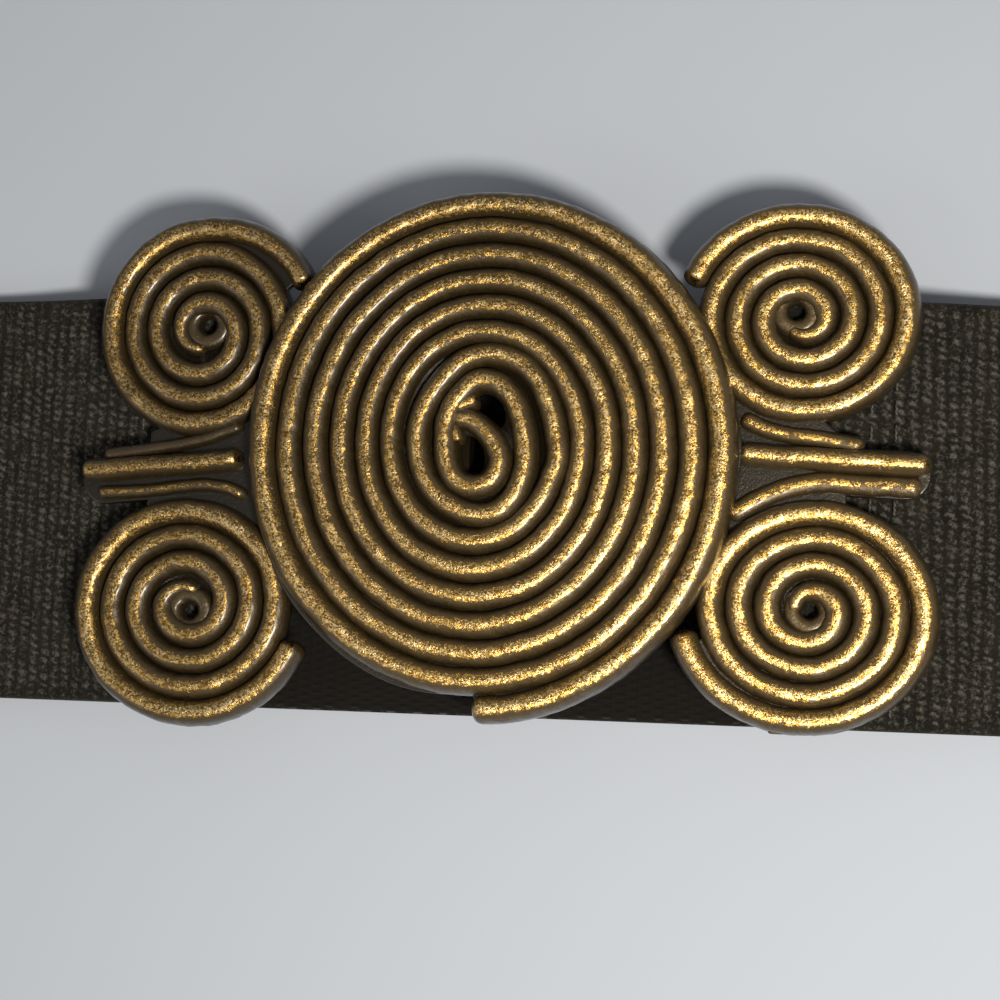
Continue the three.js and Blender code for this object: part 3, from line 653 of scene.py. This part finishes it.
# The two studs under the tongue, each a round shank with a wider head.
for stud_x in (-24.5, -18.0):
    left_parts.append(slab(circle_outline(stud_x, 6, 1.1), 7.6, plate_bottom + 0.4, crown=0.3))
    left_parts.append(slab(circle_outline(stud_x, 6, 1.9), 7.2, 8.0, crown=0.4))
left_casting = casting("left_casting_dressed", left_parts)


# Blackened brass with rubbed crests: gold shows where the height on the wire, roughened by coarse and
# fine noise and by streaks along the wire, passes a level, and is pitted with black. The rest keeps a
# brown film. All the colour is painted brighter towards the lower right, as painted light from the
# near key lamp, and a thin lacquer covers it all.
brass, tree, shader = new_material("antique_brass")
place = add(tree, "ShaderNodeTexCoord").outputs["Object"]
wire_map = add(tree, "ShaderNodeUVMap", uv_map="pattern").outputs[0]
crown = add(tree, "ShaderNodeAttribute", attribute_name="crown").outputs["Fac"]
drawn = add(tree, "ShaderNodeMapping", {"Vector": wire_map, "Scale": (0.35, 2.4, 1.0)}).outputs[0]
patch = noise(tree, place, 260.0, 3.0)
jag = noise(tree, place, 1900.0, 4.0, 0.7)
grit = noise(tree, place, 4300.0, 2.0, 0.7)
streak = noise(tree, drawn, 1.0, 4.0, 0.6)
level = plus(tree, crown, times(tree, plus(tree, patch, -0.5), 0.40))
level = plus(tree, level, times(tree, plus(tree, jag, -0.5), 0.90))
level = plus(tree, level, times(tree, plus(tree, streak, -0.5), 0.30))
bare = share_of(tree, level, 0.64, 0.71)
pitted = share_of(tree, plus(tree, grit, times(tree, jag, 0.5)), 0.87, 0.95)
bare = times(tree, bare, plus(tree, 1.0, times(tree, pitted, -0.85)))
worn = plus(tree, times(tree, streak, 0.4), plus(tree, times(tree, grit, 0.5), times(tree, jag, 0.6)))
warm = share_of(tree, worn, 0.62, 0.84)
metal = blend(tree, warm, (0.24, 0.121, 0.018, 1), (0.64, 0.378, 0.072, 1))
polished = share_of(tree, plus(tree, times(tree, level, 0.5), times(tree, grit, 1.2)), 1.0, 1.2)
metal = blend(tree, polished, metal, (0.93, 0.76, 0.43, 1))
film = blend(tree, share_of(tree, level, 0.05, 0.50), (0.046, 0.031, 0.013, 1), (0.092, 0.061, 0.023, 1))
film = blend(tree, share_of(tree, level, -0.45, -0.05), (0.018, 0.013, 0.006, 1), film)
axes = add(tree, "ShaderNodeSeparateXYZ", {0: place}).outputs
# Painted light: the colour is scaled from 0.56 up to full towards the lower right, where the key lamp is
# nearest; rubbed here is that painted light, not wear.
toward_key_lamp = plus(tree, axes[0], times(tree, axes[1], -0.8))
rubbed = share_of(tree, toward_key_lamp, -0.045, 0.020, 0.56, 1.0)
colour = add(tree, "ShaderNodeVectorMath", {
    0: blend(tree, bare, film, metal), "Scale": rubbed,
}, operation="SCALE").outputs[0]
tree.links.new(colour, shader.inputs["Base Color"])
tree.links.new(share_of(tree, bare, 0.0, 1.0, 0.4, 1.0), shader.inputs["Metallic"])
rough = plus(tree, share_of(tree, bare, 0.0, 1.0, 0.34, 0.31), times(tree, plus(tree, grit, -0.5), 0.30))
tree.links.new(rough, shader.inputs["Roughness"])
height = plus(tree, times(tree, jag, 0.8), times(tree, grit, 0.5))
height = plus(tree, height, times(tree, bare, 0.2))
bump(tree, shader, height, 0.8, 0.00013)
shader.inputs["Specular IOR Level"].default_value = 0.35
shader.inputs["Coat Weight"].default_value = 0.6
shader.inputs["Coat Roughness"].default_value = 0.25
left_casting.data.materials.append(brass)
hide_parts("left_casting")
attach(left_casting, "root")

# The right half of the clasp: one casting of the large disc, coiled from one long wire that hooks
# round two small holes in its middle, with two small spirals and a finger. A neck carries the disc
# over the other half, and on its back are the catch bar and the keeper for the hidden hook.
disc_bottom, disc_top, disc_crest = 11.6, 13.0, 14.9
core_wire = 2.7  # the wire's width at its inner end

# The wire from its inner end, round both holes and once round the middle, to the even spiral.
core_points = [
    (-6, 9.4), (-4.7, 9.6), (-3.4, 9.3), (-2, 8.3), (-0.7, 6.8), (0, 5), (-0.2, 3.3), (-1.3, 2),
    (-3.1, 1.5), (-4.9, 2.2), (-6.1, 4), (-6.5, 6.3), (-6.5, 8.6), (-5.9, 10.9), (-4.7, 12.7),
    (-3.3, 13.9), (-1.7, 14.1), (-0.2, 13.6), (1.3, 12.1), (2.3, 10), (2.9, 7.3), (3.1, 4.6),
    (2.7, 2.3), (1.7, 0.3), (0.4, -1), (-1.2, -1.7), (-3.2, -1.7), (-5.2, -0.9), (-7.2, 0.5),
    (-8.8, 2.7), (-9.7, 5.3), (-9.8, 7.9), (-9.1, 10.6), (-7.9, 13), (-6.2, 15.1), (-4.3, 16.5),
    (-2.1, 17.2), (0.2, 17), (2.5, 15.9), (4.4, 13.9), (5.8, 11.1), (6.5, 8.1), (6.8, 4.8),
]
disc_row = (-2.498, 6.824, 11.116, 3.146, 6.17, 330, -1, 0.848, 0.0, (0.042, -0.106, 0.017))
disc_spiral = spiral(*disc_row)
core_line = curve_through(core_points + [tuple(disc_spiral[0])])[:-1]
disc_turn = np.linspace(0, disc_row[4], len(disc_spiral))
disc_line = np.concatenate([core_line, disc_spiral])
disc_gap = wire_overlap * turn_gap(*disc_row)[:len(disc_spiral)]
disc_wire = disc_gap.mean()
core_width = np.interp(np.linspace(0, 1, len(core_line)), [0, 0.12, 1], [core_wire, 3.2, disc_gap[0]])
disc_width = np.concatenate([core_width, disc_gap])
disc_outer = np.concatenate([np.zeros(len(core_line)), ease((disc_turn - disc_row[4] + 1.1) / 0.3)])
right_parts = [wire(
    disc_line, disc_width, disc_wire, disc_bottom + foot_depth, disc_crest, disc_outer, tip=1.2,
)]

# Two small lumps of metal on the wire between the holes.
for lump, lump_width, lump_crest in (
    ([(-7.0, 10.0), (-5.4, 10.9), (-4.0, 11.5), (-2.7, 11.8)], 2.5, 14.5),
    ([(-6.4, 9.6), (-5.4, 8.2), (-4.9, 6.5)], 2.1, 14.3),
):
    right_parts.append(wire(
        curve_through(lump), lump_width, lump_width, disc_bottom + foot_depth, lump_crest, around=12, tip=0.6,
    ))

# The disc's plate: an oval ring under the spiral, with a ledge on its rim at the lower left and
# one at the right, as far round as the angles from its middle say.
disc_x, disc_y, ledge_reach = -2.0, 6.4, 2.2
disc_rim = spiral(*disc_row, per_turn=120)[-121:-1]
rim_angle = np.arctan2(disc_rim[:, 1] - disc_y, disc_rim[:, 0] - disc_x)
ledge = ledge_reach * (ease(1.2 - np.abs(rim_angle + 2.2)) + ease(1 - np.abs(rim_angle) * 2.5))
disc_rim = disc_rim + ledge[:, None] * np.stack([np.cos(rim_angle), np.sin(rim_angle)], -1)
core_x, core_y, core_half_width, core_half_height = -1.8, 7.4, 5.4, 7.0
core_lap = 0.4  # the ring laps this far over the disc's pierced middle
core_rim = np.stack([
    core_x + (core_half_width - core_lap) * np.cos(rim_angle),
    core_y + (core_half_height - core_lap) * np.sin(rim_angle),
], -1)
right_parts.append(slab(disc_rim, disc_bottom, disc_top, inner=core_rim))


# The bridge between the two holes, on which both halves of the pierced middle end.
bridge_middle, bridge_normal, bridge_lap = (-1.9, 8.4), (-0.50, -0.87), 0.15


def core_half(hole, way, drop):
    """Half of the pierced middle of the disc: an oval whose points past the bridge's line are moved
    back to it, joined to an oval hole, given as its middle, two radii and turn in degrees. Each
    point of the hole lies at the angle of its outline point from the hole's middle."""
    a = np.linspace(0, 2 * np.pi, 48, endpoint=False)
    edge = np.stack([core_x + core_half_width * np.cos(a), core_y + core_half_height * np.sin(a)], -1)
    line_way = np.array(bridge_normal) * way
    past = (edge - np.array(bridge_middle)) @ line_way
    edge = edge - np.minimum(past + bridge_lap, 0)[:, None] * line_way
    inner_angle = np.arctan2(*(edge - hole[:2]).T[::-1])
    x, y, long, short, turn = hole
    local = inner_angle - np.radians(turn)
    r = long * short / np.hypot(short * np.cos(local), long * np.sin(local))
    inner = np.stack([x + r * np.cos(inner_angle), y + r * np.sin(inner_angle)], -1)
    return slab(edge, disc_bottom + drop, disc_top - drop, inner=inner, crown=-0.7)


right_parts.append(core_half((-1.5, 10.7, 2.6, 1.6, 124), -1, 0.02))
right_parts.append(core_half((-3.5, 5.3, 2.4, 1.6, 110), 1, 0.05))
upper_right = (34.4, 22.1, 1.43, 2.93, 3.87, 210, 1, 1.055, 0.0)
lower_right = (36.1, -11.6, 1.21, 3.0, 4.04, 205, -1, 1.09, 0.3)
right_parts += small_spiral(upper_right, 33.8, 23.0) + small_spiral(lower_right, 36.1, -11.6)
right_parts += finger((27.4, 6.15), (49.5, 5.2), [
    ([(26.4, -1), (32.2, 2), (37.2, 3.1), (42.5, 2.9), (48.6, 2.7)], 2.7, flank_crest - 0.2, 0.86),
    ([(27.6, 10.4), (30.6, 9.2), (34.8, 8.3), (39.5, 7.7), (42.0, 7.4)], 2.2, flank_crest, 0.84),
], False)

# The plate that joins the spirals and the finger, and the neck that lifts the disc over it.
right_web = plate_outline([(40, 8), (33, 14), (22, 21), (19, 6), (20, -9), (33, -4), (40, -0.5)])
neck = plate_outline([(25.8, 10), (22, 18), (18, 18), (18, -6), (22, -6), (25.8, 2)])
right_parts.append(slab(right_web, plate_bottom, plate_top))
right_parts.append(slab(neck, plate_top - 0.5, disc_bottom + 0.5))
right_parts += strap_bar(bar_x)

# A curved lug under the lower right spiral's last turn, which carries the bar's lower post.
lug_inner, lug_outer = 11.5, 14.1
lug_angle = np.radians(np.linspace(232, 290, 14))
lug_way = np.stack([lower_right[7] * np.cos(lug_angle), np.sin(lug_angle)], -1)
lug = np.concatenate([lug_outer * lug_way, lug_inner * lug_way[::-1]]) + lower_right[:2]
right_parts.append(slab(lug, plate_bottom + 0.1, plate_top - 0.1, crown=-0.3))

# On the disc's back: the catch bar, held by the hook's turned-up end, and the keeper, a strip on
# two legs that passes under the hook.
for x0, x1, y0, y1, low, high, rubbed in (
    (-8.5, -5.5, -1, 13, plate_bottom, disc_bottom + 0.5, -0.7),
    (-12, -9.2, 12.3, 14.3, 6.8, disc_bottom + 0.6, 0.2),
    (-12, -9.2, -2.3, -0.3, 6.8, disc_bottom + 0.6, 0.2),
    (-11.9, -9.3, -2.2, 14.2, 6.9, 8.0, 0.2),
):
    right_parts.append(slab(box_outline(x0, x1, y0, y1), low, high, crown=rubbed))
right_casting = casting("right_casting_dressed", right_parts)
right_casting.data.materials.append(brass)
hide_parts("right_casting")
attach(right_casting, "root")

# The hidden hook: a plain stamped brass plate between the two castings. It hangs on the two studs
# of the left casting and its turned-up end holds the catch bar on the back of the disc.
hook_brass, tree, shader = new_material("stamped_dark_brass")
place = add(tree, "ShaderNodeTexCoord").outputs["Object"]
rolled = add(tree, "ShaderNodeMapping", {"Vector": place, "Scale": (0.12, 1.0, 1.0)}).outputs[0]
scratch = noise(tree, rolled, 2600.0, 4.0)
stain = noise(tree, place, 320.0, 3.0)
hook_colour = blend(tree, stain, (0.010, 0.008, 0.005, 1), (0.028, 0.021, 0.012, 1))
tree.links.new(hook_colour, shader.inputs["Base Color"])
shader.inputs["Metallic"].default_value = 1.0
tree.links.new(share_of(tree, scratch, 0.3, 0.7, 0.55, 0.75), shader.inputs["Roughness"])
bump(tree, shader, scratch, 0.3, 0.0001)
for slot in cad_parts["clasp_hook"].material_slots:
    slot.material = hook_brass

# The view: the belt lies on a plain pale floor, lit from the lower right by a small lamp and filled
# by a wide dim one at the left and a weak light from all round. The camera looks down on the clasp
# from a little to the right.
floor_mesh = bpy.data.meshes.new("floor")
floor_mesh.from_pydata([(-3, -3, 0), (3, -3, 0), (3, 3, 0), (-3, 3, 0)], [], [(0, 1, 2, 3)])
floor = bpy.data.objects.new("floor", floor_mesh)
bpy.context.collection.objects.link(floor)
paint, tree, shader = new_material("pale_floor_paint")
shader.inputs["Base Color"].default_value = (0.41, 0.45, 0.52, 1)
shader.inputs["Roughness"].default_value = 0.85
floor_mesh.materials.append(paint)

for name, place, size, power, colour in (
    ("key_lamp", (0.125, -0.105, 0.30), 0.06, 1.35, (1.0, 0.93, 0.82)),
    ("fill_lamp", (-0.45, -0.25, 0.40), 0.40, 0.6, (1.0, 0.93, 0.84)),
):
    lamp = bpy.data.lights.new(name, "AREA")
    lamp.shape, lamp.size = "DISK", size
    lamp.energy, lamp.color = power, colour
    hung = bpy.data.objects.new(name, lamp)
    back = np.array(place) - [0, 0, 0.01]
    back /= np.linalg.norm(back)
    right = np.cross([0, 1, 0], back)
    right /= np.linalg.norm(right)
    turned = np.stack([right, np.cross(back, right), back], -1)
    hung.matrix_world = Matrix.Translation(place) @ Matrix(turned.tolist()).to_4x4()
    bpy.context.collection.objects.link(hung)

world = bpy.data.worlds.new("room_light")
world.use_nodes = True
world.node_tree.nodes["Background"].inputs["Color"].default_value = (1.0, 0.98, 0.95, 1)
world.node_tree.nodes["Background"].inputs["Strength"].default_value = 0.27
bpy.context.scene.world = world

bpy.context.scene.view_settings.view_transform = "Standard"

camera = bpy.data.cameras.new("camera")
camera.sensor_width, camera.lens = 36.0, 80.68
camera.clip_start, camera.clip_end = 0.01, 20.0
eye = bpy.data.objects.new("camera", camera)
axes = np.array([(0.98458, 0.03991, -0.17033), (-0.02128, 0.99372, 0.10985), (0.17365, -0.10453, 0.97924)])
eye.matrix_world = Matrix.Translation((0.04548, -0.02718, 0.26848)) @ Matrix(axes.T.tolist()).to_4x4()
bpy.context.collection.objects.link(eye)
bpy.context.scene.camera = eye
